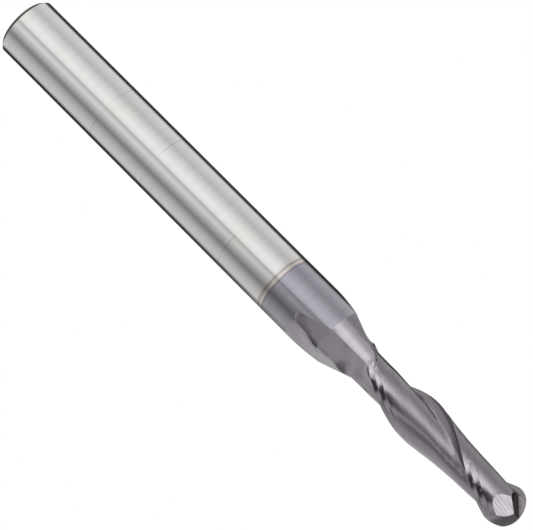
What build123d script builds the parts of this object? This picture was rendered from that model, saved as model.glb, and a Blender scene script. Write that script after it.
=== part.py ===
from build123d import *
from math import cos, pi, radians, sin, sqrt, tan
import os

# Two-flute ball nose end mill, ground from one rod of cemented carbide.
# Millimetres and degrees. +Z is the tool axis, from the flat end of the shank at z = 0 to the
# tip. Azimuths are counted about +Z from +X, and a "lag" is an angle behind a cutting edge.

overall_length = 65.0
shank_diameter = 6.0
cutting_diameter = 4.5
helix_angle = 30.0

shank_chamfer = 0.35
coating_start = 34.55
coating_band_length = 0.75
neck_start = 41.8
neck_half_angle = 10.0
blank_allowance = 0.02

# The flutes are at full depth up to flute_full_depth. From there both wheels leave the blank, and
# they are out of it at runout_top, the back wheel over back_exit and the gullet wheel over
# gullet_exit.
flute_full_depth = 46.3
runout_top = 38.1
back_exit = 1.5
gullet_exit = 0.5
back_fade = 3.0
gullet_full_depth = 49.5
gullet_fade = 6.2
# Towards the run-out the land's relief fades into the blank over land_fade, from land_overrun
# tipward of flute_full_depth, and the edge stops turning edge_overrun shankward of it.
land_fade = 0.8
land_overrun = 0.5
edge_overrun = 0.2
ridge_inset = 0.015
ridge_rounding = 0.06
ridge_hold = 42.9
ridge_drop = 3.2

# In the run-out the heel falls back from its full-depth lag, in degrees per millimetre.
heel_spread = 7.5
# Ridge between back and gullet in the run-out: (added lag, height where it starts, length).
web_held = (-25.0, 48.0, 1.7)
web_swing = (37.0, 45.1, 1.7)
web_drift = (9.5, 44.0, 4.0)
# The gullet's border on the blank turns back by edge_turn towards the top, over edge_turn_length.
edge_turn = 17.0
edge_turn_length = 4.2

# Height at which the cutting edge of tooth 1 crosses the +X side.
tooth_1_crossing = 58.65

# Transverse section of one tooth: (lag, share of the cutting radius).
land_corner = (12.0, 0.955)
heel_corner = (26.0, 0.895)
back_points = [(40.0, 0.845), (54.0, 0.803), (72.0, 0.768), (95.0, 0.735)]
web_corner = (120.0, 0.700)
gullet_points = [(135.0, 0.668), (150.0, 0.636), (163.0, 0.615), (173.0, 0.665), (181.5, 0.800)]
core_share = 0.65

# Gash of tooth 2 at the ball: the rake plane holds the pole, and the wall opposite leaves
# gash_web between itself and the pole.
rake_normal = Vector(0.778, 0.383, -0.499)
wall_normal = Vector(0.235, -0.745, 0.620)
gash_web = 0.03
# Flat on the back of tooth 1 beside the gash: its normal and its distance from the ball's centre.
facet_normal = Vector(0.94, -0.13, 0.32)
facet_depth = 1.6
# The ball falls away behind a plane through the pole, a little behind each edge.
relief_normal = Vector(0.745, 0.275, -0.607)
relief_shift = 0.5
relief_margin = 0.01

shank_radius = shank_diameter / 2
cutting_radius = cutting_diameter / 2
ball_height = overall_length - cutting_radius
pole = Vector(0, 0, overall_length)
front_radius = cutting_radius + blank_allowance
neck_end = neck_start + (shank_radius - front_radius) / tan(radians(neck_half_angle))
lead = pi * cutting_diameter / tan(radians(helix_angle))
turn_per_mm = 360 / lead
half_turn = 180.0

section_step = 0.5
fine_step = 0.25
fine_stretches = [(runout_top, 40.1)]
form_start = coating_start + coating_band_length
overlap = 1.0
form_end = overall_length + overlap
clearance = 0.02
land_clearance = 0.1
tool_size = 40.0


def smooth_step(share):
    """0 below 0, 1 above 1, and level at both ends of the rise between."""
    share = min(max(share, 0.0), 1.0)
    return share * share * (3 - 2 * share)


def blend(start, end, share):
    return start + (end - start) * share


def blank_radius(z):
    """Radius of the turned blank: shank, neck cone, cutting diameter."""
    cone = shank_radius - (z - neck_start) * tan(radians(neck_half_angle))
    return min(shank_radius, max(front_radius, cone))


def edge_azimuth(z):
    """The edge follows the helix up to the run-out, where the wheel leaves without turning."""
    return turn_per_mm * (max(z, flute_full_depth - edge_overrun) - tooth_1_crossing)


def edge_lead(z):
    """How far the gullet's border has turned back from the frozen edge."""
    return edge_turn * (1 - smooth_step((z - runout_top) / edge_turn_length))


def heel_lag(z):
    return heel_corner[0] + heel_spread * max(flute_full_depth - z, 0)


def web_lag(z):
    """The ridge stays put while the wheel leaves, then swings over the cone."""
    lag = web_corner[0]
    for added, start, length in (web_held, web_swing, web_drift):
        lag += added * smooth_step((start - z) / length)
    return lag


def point(azimuth, radius, z):
    return Vector(radius * cos(radians(azimuth)), radius * sin(radians(azimuth)), z)


def spline(points):
    """A spline with evenly spaced parameters, so that all sections loft alike."""
    last = len(points) - 1
    return Edge.make_spline(points, parameters=[i / last for i in range(last + 1)])


def on_chord(lag, start, end):
    """Radius at a lag on the straight line between two (lag, radius) points."""
    before = radians(lag - start[0])
    after = radians(end[0] - lag)
    return start[1] * end[1] * sin(before + after) / (start[1] * sin(before) + end[1] * sin(after))


def ground_points(rim, start, end, full, lift, leaving):
    """Points of a back or gullet from start to end, which are (lag, radius) points.

    full holds the same points at full depth. In the run-out, as lift rises to 1, they move onto
    the chord, and over the last stretch, where leaving falls to 0, out of the blank.
    """
    points = []
    for number, (lag, radius) in enumerate(full, 1):
        even = blend(start[0], end[0], number / (len(full) + 1))
        lag = blend(lag, even, lift)
        flat = on_chord(lag, start, end)
        points.append((lag, blend(rim, blend(radius, flat, lift), leaving)))
    return points


def tooth_edges(z, turned):
    """The land, relief, back and gullet of one tooth as four edges at height z."""
    azimuth = edge_azimuth(z) + turned
    rim = blank_radius(z) + clearance
    land_lift = smooth_step((flute_full_depth + land_overrun - z) / land_fade)
    bulge = land_clearance * smooth_step((flute_full_depth - z) / back_fade)
    back_lift = smooth_step((flute_full_depth - z) / back_fade)
    gullet_lift = smooth_step((gullet_full_depth - z) / gullet_fade)
    back_leaving = smooth_step((z - runout_top) / back_exit)
    gullet_leaving = smooth_step((z - runout_top) / gullet_exit)

    def on_land(lag, share):
        return lag, blend(share * cutting_radius, rim, land_lift)

    def between(start, end):
        lag = (start[0] + end[0]) / 2
        return lag, blend(on_chord(lag, start, end), rim + bulge, land_lift)

    edge = on_land(-edge_lead(z), 1)
    heel = on_land(heel_lag(z), heel_corner[1])
    corner = on_land(blend(edge[0], heel[0], land_corner[0] / heel_corner[0]), land_corner[1])
    next_edge = (edge[0] + half_turn, edge[1])

    ridge = blend(
        blank_radius(z) - ridge_inset,
        web_corner[1] * cutting_radius,
        smooth_step((z - ridge_hold) / ridge_drop),
    )
    web = (web_lag(z), blend(rim, ridge, gullet_leaving))

    back_full = []
    for lag, share in back_points:
        along = (lag - heel_corner[0]) / (web_corner[0] - heel_corner[0])
        back_full.append((blend(heel[0], web[0], along), share * cutting_radius))
    gullet_full = []
    for lag, share in gullet_points:
        along = (lag - web_corner[0]) / (half_turn - web_corner[0])
        gullet_full.append((blend(web[0], next_edge[0], along), share * cutting_radius))
    back = ground_points(rim, heel, web, back_full, back_lift, back_leaving)
    flat_gullet = ground_points(rim, web, next_edge, gullet_full, gullet_lift, gullet_leaving)
    gullet = []
    for number, (lag, radius) in enumerate(flat_gullet, 1):
        from_edge = 1 - number / (len(flat_gullet) + 1)
        gullet.append((lag, radius + ridge_rounding * gullet_lift * from_edge**2))

    lines = (
        [edge, between(edge, corner), corner],
        [corner, between(corner, heel), heel],
        [heel, *back, web],
        [web, *gullet, next_edge],
    )
    return [spline([point(azimuth - lag, radius, z) for lag, radius in line]) for line in lines]


def section_heights():
    """Heights of the sections, closer together where the form changes quickly."""
    heights = [form_start]
    while heights[-1] < form_end:
        fine = any(low <= heights[-1] < high for low, high in fine_stretches)
        heights.append(heights[-1] + (fine_step if fine else section_step))
    return heights


def ground_form():
    """Everything inside the surfaces that the grinding wheels leave, as one twisted body."""
    wires = []
    for z in section_heights():
        wires.append(Wire([*tooth_edges(z, 0), *tooth_edges(z, half_turn)]))
    return Solid.make_loft(wires)


def turned_blank():
    """Cylindrical shank front, cone and cutting diameter, ending in the relieved ball."""
    rear = Cylinder(shank_radius, neck_start - form_start, align=(Align.CENTER, Align.CENTER, Align.MIN))
    cone = Cone(
        shank_radius, front_radius, neck_end - neck_start, align=(Align.CENTER, Align.CENTER, Align.MIN)
    )
    front = Cylinder(front_radius, ball_height - neck_end, align=(Align.CENTER, Align.CENTER, Align.MIN))
    return Pos(0, 0, form_start) * rear + Pos(0, 0, neck_start) * cone + Pos(0, 0, neck_end) * front


def half_space(origin, normal):
    """A block whose face lies on the plane and whose body is on the normal's side."""
    return Plane(origin=origin, z_dir=normal).location * Pos(0, 0, tool_size / 2) * Box(*[tool_size] * 3)


def ball():
    """The ball, with a larger sphere for each tooth that meets it there and falls away."""
    centre = Vector(0, 0, ball_height)
    normal = relief_normal.normalized()
    drop = -normal.dot(pole - centre)
    start_radius = sqrt(cutting_radius**2 - drop**2)
    relief_radius = sqrt(start_radius**2 + (drop + relief_shift) ** 2) + relief_margin
    shifted = centre + normal * relief_shift
    relief = Pos(*shifted) * Sphere(relief_radius)
    above = half_space(centre, Vector(0, 0, 1))
    return above & Pos(*centre) * Sphere(cutting_radius) & relief & relief.rotate(Axis.Z, half_turn)


def gash():
    """What the gash wheel and the facet wheel take from the ball end, for tooth 2."""
    wall_foot = pole + wall_normal.normalized() * gash_web
    notch = half_space(wall_foot, wall_normal) & half_space(pole, rake_normal)
    facing = facet_normal.normalized()
    facet = half_space(Vector(0, 0, ball_height) + facing * facet_depth, facing)
    return notch, facet


def ground_end():
    form = ground_form()
    body = (turned_blank() + ball()) & form
    for cut in gash():
        body = body - cut - cut.rotate(Axis.Z, half_turn)
    return body


def shank():
    body = Cylinder(shank_radius, coating_start, align=(Align.CENTER, Align.CENTER, Align.MIN))
    return chamfer(body.edges().sort_by(Axis.Z)[0], shank_chamfer)


def coating_edge_band():
    band = Cylinder(shank_radius, coating_band_length, align=(Align.CENTER, Align.CENTER, Align.MIN))
    return Pos(0, 0, coating_start) * band


def cutting_parts(end):
    """The web along the axis, and what stands on it: one solid for each tooth."""
    cutting = end & half_space(Vector(0, 0, neck_end), Vector(0, 0, 1)) & Pos(0, 0, neck_end) * Cylinder(
        shank_radius, overall_length, align=(Align.CENTER, Align.CENTER, Align.MIN)
    )
    web = Pos(0, 0, neck_end - overlap) * Cylinder(
        core_share * cutting_radius, overall_length, align=(Align.CENTER, Align.CENTER, Align.MIN)
    )
    core = cutting & web
    teeth = (cutting - web).solids()
    in_tooth_1 = point(-land_corner[0] / 2, heel_corner[1] * cutting_radius, tooth_1_crossing)
    teeth.sort(key=lambda tooth: not tooth.is_inside(in_tooth_1))
    return core, teeth


def main():
    end = ground_end()
    core, teeth = cutting_parts(end)
    neck = end & half_space(Vector(0, 0, neck_end), Vector(0, 0, -1))
    pieces = {
        "shank": shank(),
        "coating_edge_band": coating_edge_band(),
        "coated_neck": neck,
        "flute_core": core,
    }
    for number, tooth in enumerate(teeth, 1):
        pieces[f"tooth_{number}"] = tooth
    os.makedirs("parts", exist_ok=True)
    for name, piece in pieces.items():
        export_step(piece, f"parts/{name}.step")
        print(name, round(piece.volume, 2), "mm3")


main()
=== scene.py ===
from math import cos, pi, radians, sin, sqrt, tan

import bpy
from mathutils import Matrix, Vector


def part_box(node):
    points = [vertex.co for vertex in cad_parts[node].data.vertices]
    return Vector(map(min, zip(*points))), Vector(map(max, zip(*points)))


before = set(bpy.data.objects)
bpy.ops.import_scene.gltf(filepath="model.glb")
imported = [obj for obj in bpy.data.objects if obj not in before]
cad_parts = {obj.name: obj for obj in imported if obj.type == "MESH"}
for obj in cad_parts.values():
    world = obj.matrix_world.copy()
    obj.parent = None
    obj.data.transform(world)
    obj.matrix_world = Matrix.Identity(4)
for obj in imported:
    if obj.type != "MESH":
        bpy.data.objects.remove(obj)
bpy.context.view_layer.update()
scene = bpy.context.scene
mm = 0.001

# ------------------------------------------------------------------ places on the tool
# Metres. +Z is the tool axis, from the flat end of the shank to the tip.
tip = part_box("tooth_1")[1].z
shank_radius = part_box("shank")[1].x
band_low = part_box("coating_edge_band")[0].z
band_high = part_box("coating_edge_band")[1].z
neck_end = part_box("coated_neck")[1].z
neck_start = 41.8 * mm
neck_slope = tan(radians(10))
rim_height = 0.35 * mm
cutting_diameter = 4.5 * mm
helix_angle = radians(30)
land_radius = (1.97 * mm, 2.03 * mm)
land_fade = 0.4 * mm
edge_fade = 0.05 * mm
blank_inset = (-0.035 * mm, -0.018 * mm)
# The flats of the ball end lie within the last 3 mm, faded in over 0.2 mm.
flats_start = (tip - 3.2 * mm, tip - 3.0 * mm)
# Cosine of the angle off a flat's normal, from where a point starts to count as on the flat.
on_flat = (0.9985, 0.9995)
# The direction across the scored lines of the facet, and its slope along z.
scored_across = (-0.168, -0.982, 0.0)
scored_slope = 0.0935
turn_per_metre = 2 * tan(helix_angle) / cutting_diameter
# Normals of the flat faces that the ball end has, for the tooth that faces +X.
facet_normal = Vector((0.94, -0.13, 0.32)).normalized()
wall_normal = Vector((0.235, -0.745, 0.620)).normalized()
rake_normal = Vector((0.778, 0.383, -0.499)).normalized()

# ------------------------------------------------------------------ camera
camera_elevation = radians(16.8)
camera_distance = 0.40111
camera_focal = 303.94
sensor_width = 36.0
aim_point = Vector((0.0, -0.0001, 0.03246))


# ------------------------------------------------------------------ sizes of the marks
# Noise scales, in cycles per metre of object space.
round_narrow = 60
round_wide = 40
fine_lines = 9000
coarse_lines_bare = 1400
coarse_lines_coated = 1600
helical_across = 6000
helical_along = 160
streaks_across = 1800
streaks_along = 90
scored_scale = 6500
scored_along = 300
cloud_bare = 420
cloud_coated = 700
ring_breaks = 260
edge_wander = 260
mottle_scale = 2600
# Bump strengths and depths, and how metallic the rake face is.
grinding_bump = 0.12
grinding_depth = 0.004 * mm
coating_bump = 0.15
coating_depth = 0.003 * mm
rake_metallic = 0.35

# ------------------------------------------------------------------ node helper
class Nodes:
    """Builds the shader nodes of one tree with short calls."""

    def __init__(self, tree):
        self.tree = tree
        self.tree.nodes.clear()

    def add(self, kind, **settings):
        node = self.tree.nodes.new(kind)
        for name, value in settings.items():
            setattr(node, name, value)
        return node

    def put(self, socket, value):
        if isinstance(value, bpy.types.NodeSocket):
            self.tree.links.new(value, socket)
        else:
            socket.default_value = value

    def math(self, operation, *values):
        node = self.add("ShaderNodeMath", operation=operation)
        for socket, value in zip(node.inputs, values):
            self.put(socket, value)
        return node.outputs[0]

    def vector(self, operation, a, b):
        node = self.add("ShaderNodeVectorMath", operation=operation)
        self.put(node.inputs[0], a)
        self.put(node.inputs[1], b)
        return node.outputs["Value" if operation == "DOT_PRODUCT" else "Vector"]

    def split(self, vector):
        node = self.add("ShaderNodeSeparateXYZ")
        self.put(node.inputs[0], vector)
        return node.outputs["X"], node.outputs["Y"], node.outputs["Z"]

    def join(self, x, y, z):
        node = self.add("ShaderNodeCombineXYZ")
        for socket, value in zip(node.inputs, (x, y, z)):
            self.put(socket, value)
        return node.outputs[0]

    def span(self, value, low, high, first=0.0, last=1.0):
        """Smooth step from first to last as value goes from low to high."""
        node = self.add("ShaderNodeMapRange", interpolation_type="SMOOTHSTEP")
        for socket, item in zip(node.inputs, (value, low, high, first, last)):
            self.put(socket, item)
        return node.outputs[0]

    def blend(self, share, a, b):
        """Mix of two numbers."""
        node = self.add("ShaderNodeMix", data_type="FLOAT")
        for name, value in zip(("Factor", "A", "B"), (share, a, b)):
            self.put(node.inputs[name], value)
        return node.outputs[0]

    def tint(self, share, a, b, mode="MIX"):
        """Mix of two colours."""
        node = self.add("ShaderNodeMix", data_type="RGBA", blend_type=mode)
        self.put(node.inputs[0], share)
        self.put(node.inputs[6], a if isinstance(a, bpy.types.NodeSocket) else (*a, 1.0))
        self.put(node.inputs[7], b if isinstance(b, bpy.types.NodeSocket) else (*b, 1.0))
        return node.outputs[2]

    def ramp(self, factor, stops, interpolation="LINEAR"):
        node = self.add("ShaderNodeValToRGB")
        node.color_ramp.interpolation = interpolation
        elements = node.color_ramp.elements
        while len(elements) < len(stops):
            elements.new(0.5)
        for element, (place, colour) in zip(elements, stops):
            element.position = place
            element.color = (*colour, 1.0)
        self.put(node.inputs[0], factor)
        return node.outputs[0]

    def stretched(self, x, y, z, across, along, detail, roughness):
        """Noise with its own scale across and along the tool."""
        place = self.join(self.math("MULTIPLY", x, across), self.math("MULTIPLY", y, across),
                          self.math("MULTIPLY", z, along))
        return self.noise(place, 1.0, detail, roughness)

    def noise(self, place, scale, detail=2.0, roughness=0.5):
        node = self.add("ShaderNodeTexNoise")
        self.put(node.inputs["Vector"], place)
        self.put(node.inputs["Scale"], scale)
        self.put(node.inputs["Detail"], detail)
        self.put(node.inputs["Roughness"], roughness)
        return node.outputs[0]


# ------------------------------------------------------------------ studio light
# Brightness of the studio by azimuth round the tool, in degrees from +X towards +Y, in storeys.
# The strips were set to give the photo's reflections from this camera. Seen from it, the
# shank reflects the first, its coated front the second, the ground faces the ones above, and the
# faces that look down the floor's.
shank_strips = [
    (-180, 0.50), (-169, 0.40), (-163, 0.03), (-133, 0.05), (-127, 0.62), (-119, 0.80),
    (-89, 0.71), (-78, 0.63), (-68, 0.62), (-58, 0.70), (-48, 0.82), (-24, 1.00),
    (-14, 1.02), (-7, 0.90), (-1, 0.66), (5, 0.55), (10, 0.63), (16, 0.82),
    (23, 0.80), (31, 0.62), (40, 0.48), (50, 0.30), (56, 0.26), (64, 0.36),
    (76, 0.50), (90, 0.60), (118, 0.68), (128, 0.45), (136, 0.04), (163, 0.02), (169, 0.40),
]
coating_strips = [
    (-180, 0.40), (-169, 0.36), (-163, 0.03), (-134, 0.05), (-127, 0.50), (-114, 0.82),
    (-92, 0.66), (-70, 0.50), (-50, 0.67), (-35, 0.90), (-24, 0.98), (-10, 0.98), (-4, 0.60), (2, 0.38),
    (7, 0.43), (14, 0.56), (20, 0.40), (28, 0.25), (42, 0.19), (57, 0.17),
    (70, 0.28), (83, 0.43), (103, 0.60), (121, 0.62), (150, 0.56), (160, 0.40),
]
middle_strips = [
    (-180, 0.35), (-157, 0.22), (-142, 0.25), (-127, 0.48), (-112, 0.52), (-82, 0.44),
    (-67, 0.46), (-52, 0.58), (-37, 0.78), (-22, 0.95), (-8, 0.86), (2, 0.56),
    (12, 0.34), (24, 0.28), (32, 0.50), (40, 0.46), (50, 0.22), (67, 0.30),
    (82, 0.47), (97, 0.52), (112, 0.54), (127, 0.62), (142, 0.68), (157, 0.60), (172, 0.42),
]
upper_strips = [
    (-180, 0.40), (-140, 0.42), (-127, 0.48), (-82, 0.42), (-68, 0.48), (-56, 0.74),
    (-44, 1.10), (-32, 1.45), (-20, 1.40), (-14, 0.85), (-9, 0.14), (0, 0.06),
    (18, 0.08), (27, 0.46), (36, 0.56), (50, 0.40), (60, 0.46), (82, 0.56),
    (105, 0.64), (127, 0.64), (150, 0.52),
]
top_strips = [
    (-180, 0.42), (-130, 0.46), (-70, 0.52), (-50, 0.90), (-20, 1.30), (-4, 0.60),
    (10, 0.52), (90, 0.53), (120, 0.50), (150, 0.45),
]
floor_strips = [
    (-180, 0.10), (-140, 0.12), (-124, 0.30), (-108, 0.50), (-82, 0.54), (-60, 0.46),
    (-8, 0.46), (15, 0.40), (37, 0.28), (60, 0.20), (90, 0.13), (140, 0.10),
]
# The storeys above the shank's, and the elevations in degrees where each fades in.
storeys = [
    (-16.7, -16.1, coating_strips),
    (-14.0, -11.5, middle_strips),
    (-5.0, -1.5, upper_strips),
    (8.0, 16.0, top_strips),
]
floor_start = (-24.0, -32.0)
# A card fades out between these shares of its half width.
card_edge = (1.15, 0.6)
# Soft boxes and dark cards: azimuth, elevation, half width in degrees, brightness.
studio_cards = [
    (-22, 27, 14, 1.75),
    (-146, 12, 15, 0.01),
    (-65, 13, 11, 1.20),
    (142, 50, 42, 0.20),
    (93, -63, 16, 0.60),
]


def storey(n, turn, strips):
    """Brightness by azimuth, as a share of a full turn."""
    stops = [((place + 180) / 360, (v, v, v)) for place, v in strips]
    stops.append((1.0, stops[0][1]))
    return n.ramp(turn, stops)


def studio_world():
    world = bpy.data.worlds.new("studio")
    scene.world = world
    world.use_nodes = True
    n = Nodes(world.node_tree)
    direction = n.add("ShaderNodeTexCoord").outputs["Generated"]
    x, y, z = n.split(direction)
    azimuth = n.math("ARCTAN2", y, x)
    turn = n.math("MULTIPLY_ADD", azimuth, 0.5 / pi, 0.5)
    elevation = n.math("DEGREES", n.math("ARCSINE", z))
    light = storey(n, turn, shank_strips)
    for first, full, strips in storeys:
        light = n.blend(n.span(elevation, first, full), light, storey(n, turn, strips))
    below = n.span(elevation, floor_start[1], floor_start[0])
    light = n.blend(below, storey(n, turn, floor_strips), light)
    for card_azimuth, card_elevation, half_width, brightness in studio_cards:
        flat = cos(radians(card_elevation))
        centre = (flat * cos(radians(card_azimuth)), flat * sin(radians(card_azimuth)),
                  sin(radians(card_elevation)))
        facing = n.vector("DOT_PRODUCT", direction, centre)
        outer, inner = [cos(radians(half_width * share)) for share in card_edge]
        inside = n.span(facing, outer, inner)
        light = n.blend(inside, light, brightness)
    background = n.add("ShaderNodeBackground")
    n.put(background.inputs["Color"], light)
    output = n.add("ShaderNodeOutputWorld")
    n.put(output.inputs["Surface"], background.outputs[0])


def floor():
    bpy.ops.mesh.primitive_plane_add(size=6.0, location=(0, 0, 0))
    plane = bpy.context.object
    plane.name = "floor"
    plane.visible_glossy = False
    material = bpy.data.materials.new("floor")
    material.use_nodes = True
    n = Nodes(material.node_tree)
    glow = n.add("ShaderNodeEmission")
    n.put(glow.inputs["Color"], (1.0, 1.0, 1.0, 1.0))
    output = n.add("ShaderNodeOutputMaterial")
    n.put(output.inputs["Surface"], glow.outputs[0])
    plane.data.materials.append(material)


def camera():
    """The tool's axis runs down to the lower right corner, tip towards the viewer."""
    data = bpy.data.cameras.new("camera")
    data.sensor_width = sensor_width
    data.lens = camera_focal
    data.clip_start = 0.01
    data.clip_end = 20.0
    forward = Vector((-cos(camera_elevation), 0, -sin(camera_elevation)))
    axis_in_view = Vector((-sin(camera_elevation), 0, cos(camera_elevation)))
    side = Vector((0, 1, 0))
    right = (axis_in_view - side) / sqrt(2)
    up = -(axis_in_view + side) / sqrt(2)
    turned = Matrix((right, up, -forward)).transposed().to_4x4()
    turned.translation = aim_point - forward * camera_distance
    thing = bpy.data.objects.new("camera", data)
    scene.collection.objects.link(thing)
    thing.matrix_world = turned
    scene.camera = thing


# ------------------------------------------------------------------ materials
def start(name):
    material = bpy.data.materials.new(name)
    material.use_nodes = True
    return material, Nodes(material.node_tree)


def finish(n, colour, roughness, height, bump_strength, bump_distance, metallic=1.0):
    """Metal shader with its colour, roughness and bump height from nodes."""
    shader = n.add("ShaderNodeBsdfPrincipled")
    n.put(shader.inputs["Base Color"], colour)
    n.put(shader.inputs["Metallic"], metallic)
    n.put(shader.inputs["Roughness"], roughness)
    bump = n.add("ShaderNodeBump")
    n.put(bump.inputs["Strength"], bump_strength)
    n.put(bump.inputs["Distance"], bump_distance)
    n.put(bump.inputs["Height"], height)
    n.put(shader.inputs["Normal"], bump.outputs[0])
    output = n.add("ShaderNodeOutputMaterial")
    n.put(output.inputs["Surface"], shader.outputs[0])


def turned_lines(n, place, fine, coarse):
    """Grinding marks round the axis: noise stretched round the tool, in two sizes along z."""
    x, y, z = n.split(place)
    narrow = n.stretched(x, y, z, round_narrow, fine, 3.0, 0.6)
    wide = n.stretched(x, y, z, round_wide, coarse, 2.0, 0.5)
    return narrow, wide


def ring(n, z, height, half_width):
    """1 on a thin ring round the tool at that height, 0 elsewhere."""
    away = n.math("ABSOLUTE", n.math("SUBTRACT", z, height))
    return n.span(away, half_width, half_width * 0.3)


# Faint rings left on the ground shank by the wheel and by holders.
shank_rings = [(12.3 * mm, 0.06 * mm), (19.0 * mm, 0.05 * mm), (29.4 * mm, 0.07 * mm)]


def bare_carbide():
    """Centreless-ground shank: fine lines round it, faint rings, browner at its end rim."""
    material, n = start("ground_carbide_finish")
    place = n.add("ShaderNodeTexCoord").outputs["Object"]
    z = n.split(place)[2]
    narrow, wide = turned_lines(n, place, fine_lines, coarse_lines_bare)
    cloud = n.noise(place, cloud_bare, 3.0)
    tone = n.tint(n.span(wide, 0.3, 0.7), (0.79, 0.78, 0.765), (0.82, 0.81, 0.795))
    tone = n.tint(n.span(narrow, 0.35, 0.7, 0.0, 0.25), tone, (0.72, 0.71, 0.70))
    tone = n.tint(n.span(cloud, 0.45, 0.75, 0.0, 0.25), tone, (0.80, 0.775, 0.74))
    arcs = n.span(n.noise(place, ring_breaks, 1.0), 0.44, 0.56, 0.12, 0.65)
    for height, half_width in shank_rings:
        share = n.math("MULTIPLY", ring(n, z, height, half_width), arcs)
        tone = n.tint(share, tone, (0.40, 0.38, 0.37))
    rim = n.span(z, rim_height * 1.25, rim_height * 0.7)
    tone = n.tint(n.math("MULTIPLY", rim, 0.75), tone, (0.42, 0.34, 0.29))
    rough = n.blend(narrow, 0.07, 0.17)
    rough = n.blend(rim, rough, 0.32)
    finish(n, tone, rough, narrow, grinding_bump, grinding_depth)
    return material


def coating_edge():
    """Where the coating runs out on the shank: brown haze, bare cream, bronze and violet lines."""
    material, n = start("coating_edge_finish")
    place = n.add("ShaderNodeTexCoord").outputs["Object"]
    z = n.split(place)[2]
    narrow = turned_lines(n, place, fine_lines, coarse_lines_bare)[0]
    along = n.span(z, band_low, band_high)
    wander = n.math("SUBTRACT", n.noise(place, edge_wander, 2.0), 0.5)
    drift = n.math("MULTIPLY_ADD", wander, 0.10, along)
    bands = n.ramp(drift, [
        (0.00, (0.78, 0.77, 0.755)), (0.05, (0.50, 0.47, 0.45)), (0.30, (0.55, 0.52, 0.49)),
        (0.40, (0.74, 0.72, 0.68)), (0.62, (0.80, 0.76, 0.70)), (0.74, (0.76, 0.60, 0.50)),
        (0.84, (0.62, 0.48, 0.44)), (0.92, (0.26, 0.22, 0.32)), (1.00, (0.36, 0.36, 0.46)),
    ])
    tone = n.tint(n.span(narrow, 0.35, 0.7, 0.0, 0.3), bands, (0.50, 0.48, 0.47))
    rough = n.blend(narrow, 0.09, 0.20)
    finish(n, tone, rough, narrow, grinding_bump, grinding_depth)
    return material


def flat_face(n, normal, z, direction):
    """1 on the flat face of either tooth with that normal, near the tip, and its tooth's sign."""
    sideways = n.vector("DOT_PRODUCT", normal, (direction.x, direction.y, 0.0))
    facing = n.math("MULTIPLY_ADD", n.split(normal)[2], direction.z, n.math("ABSOLUTE", sideways))
    near_tip = n.span(z, *flats_start)
    return n.math("MULTIPLY", n.span(facing, *on_flat), near_tip), n.math("SIGN", sideways)


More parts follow.
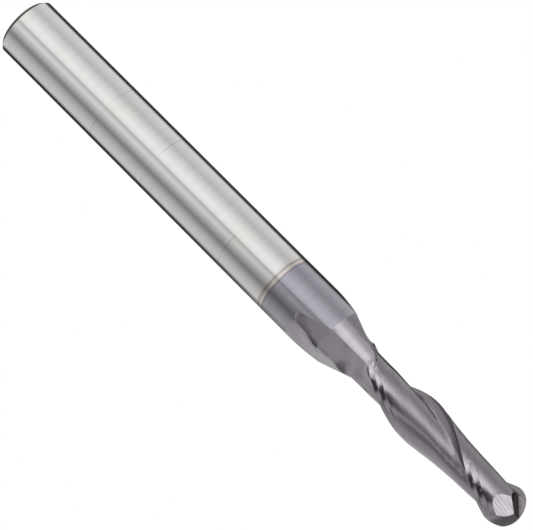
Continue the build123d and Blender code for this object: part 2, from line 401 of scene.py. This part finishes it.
def coated_carbide():
    """Violet-grey coating over ground carbide. The marks follow each face: round the neck, along
    the helix in the flutes, straight across the facet, and mottled in the gash. The gash wall is
    painted near-black as shade, and its rake face painted pale as a highlight."""
    material, n = start("coated_carbide_finish")
    place = n.add("ShaderNodeTexCoord").outputs["Object"]
    normal = n.add("ShaderNodeNewGeometry").outputs["Normal"]
    x, y, z = n.split(place)
    radius = n.math("SQRT", n.math("ADD", n.math("MULTIPLY", x, x), n.math("MULTIPLY", y, y)))

    # Untwisted coordinates: constant along the helix, so stretched noise becomes helical lines.
    turn = n.math("MULTIPLY", z, turn_per_metre)
    cosine = n.math("COSINE", turn)
    sine = n.math("SINE", turn)
    u = n.math("ADD", n.math("MULTIPLY", x, cosine), n.math("MULTIPLY", y, sine))
    v = n.math("SUBTRACT", n.math("MULTIPLY", y, cosine), n.math("MULTIPLY", x, sine))
    helical = n.stretched(u, v, z, helical_across, helical_along, 3.0, 0.55)
    streaks = n.stretched(u, v, z, streaks_across, streaks_along, 2.0, 0.5)
    narrow, wide = turned_lines(n, place, fine_lines, coarse_lines_coated)
    cloud = n.noise(place, cloud_coated, 3.0)

    # 1 on the turned blank, 0 on the ground flutes.
    past = n.math("MAXIMUM", n.math("SUBTRACT", z, neck_start), 0.0)
    inset = n.math("ADD", n.math("SUBTRACT", radius, shank_radius),
                   n.math("MULTIPLY", past, neck_slope))
    on_blank = n.math("MULTIPLY", n.span(inset, *blank_inset),
                      n.span(z, neck_end, neck_end - edge_fade))
    on_cone = n.math("MULTIPLY", on_blank, n.span(past, 0.0, edge_fade))

    # 1 on the lands, which are ground finer than the flutes.
    on_land = n.math("MULTIPLY", n.span(radius, *land_radius),
                     n.span(z, neck_end, neck_end + land_fade))

    # The flat faces at the ball: the facet, and the wall and rake face of the gash.
    facet, side = flat_face(n, normal, z, facet_normal)
    wall = flat_face(n, normal, z, wall_normal)[0]
    rake = flat_face(n, normal, z, rake_normal)[0]
    across = n.vector("DOT_PRODUCT", place, scored_across)
    across = n.math("MULTIPLY_ADD", across, side, n.math("MULTIPLY", z, scored_slope))
    scored = n.noise(n.join(n.math("MULTIPLY", across, scored_scale), 0.0,
                            n.math("MULTIPLY", z, scored_along)), 1.0, 3.0, 0.65)

    lines = n.blend(on_blank, helical, narrow)
    lines = n.blend(facet, lines, scored)

    coat = n.tint(n.span(wide, 0.3, 0.7), (0.425, 0.412, 0.465), (0.45, 0.437, 0.49))
    flute = n.tint(n.span(streaks, 0.3, 0.7), (0.41, 0.378, 0.415), (0.45, 0.418, 0.455))
    flute = n.tint(n.span(helical, 0.45, 0.75, 0.0, 0.4), flute, (0.35, 0.325, 0.36))
    cone = n.tint(n.span(wide, 0.3, 0.7), (0.43, 0.40, 0.44), (0.46, 0.43, 0.465))
    coat = n.tint(on_cone, coat, cone)
    tone = n.tint(on_blank, flute, coat)
    tone = n.tint(n.span(narrow, 0.5, 0.75, 0.0, 0.2), tone, (0.34, 0.33, 0.37))
    tone = n.tint(n.span(cloud, 0.5, 0.75, 0.0, 0.25), tone, (0.43, 0.38, 0.40))
    flat = n.tint(n.span(scored, 0.38, 0.62), (0.36, 0.32, 0.35), (0.56, 0.53, 0.56))
    tone = n.tint(facet, tone, flat)
    mottled = n.noise(place, mottle_scale, 3.0, 0.6)
    spots = n.span(mottled, 0.3, 0.7)
    # Painted shade: the gash wall is given a near-black tone, mottled by the spots.
    wall_painted_shade = n.tint(spots, (0.045, 0.034, 0.038), (0.08, 0.062, 0.066))
    tone = n.tint(wall, tone, wall_painted_shade)
    # Painted highlight: the gash rake face is given a near-white tone, mottled by the spots.
    rake_painted_highlight = n.tint(spots, (0.80, 0.74, 0.79), (0.93, 0.87, 0.91))
    tone = n.tint(rake, tone, rake_painted_highlight)

    rough = n.blend(lines, 0.09, 0.22)
    rough = n.blend(on_land, rough, n.blend(lines, 0.04, 0.12))
    rough = n.blend(facet, rough, n.blend(scored, 0.20, 0.40))
    rough = n.blend(wall, rough, n.blend(mottled, 0.25, 0.40))
    rough = n.blend(rake, rough, n.blend(mottled, 0.38, 0.55))
    # Wall and rake face mirror each other, so their tones are set here: the wall's near-black tone is
    # painted shade, the rake face's pale tone a painted highlight. The rake is partly matt.
    metallic = n.blend(rake, 1.0, rake_metallic)
    finish(n, tone, rough, lines, coating_bump, coating_depth, metallic)
    return material


def dress(node, material):
    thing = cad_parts[node]
    thing.data.materials.clear()
    thing.data.materials.append(material)


studio_world()
floor()
camera()
dress("shank", bare_carbide())
dress("coating_edge_band", coating_edge())
coating = coated_carbide()
for name in ("coated_neck", "flute_core", "tooth_1", "tooth_2"):
    dress(name, coating)

scene.view_settings.view_transform = "Standard"
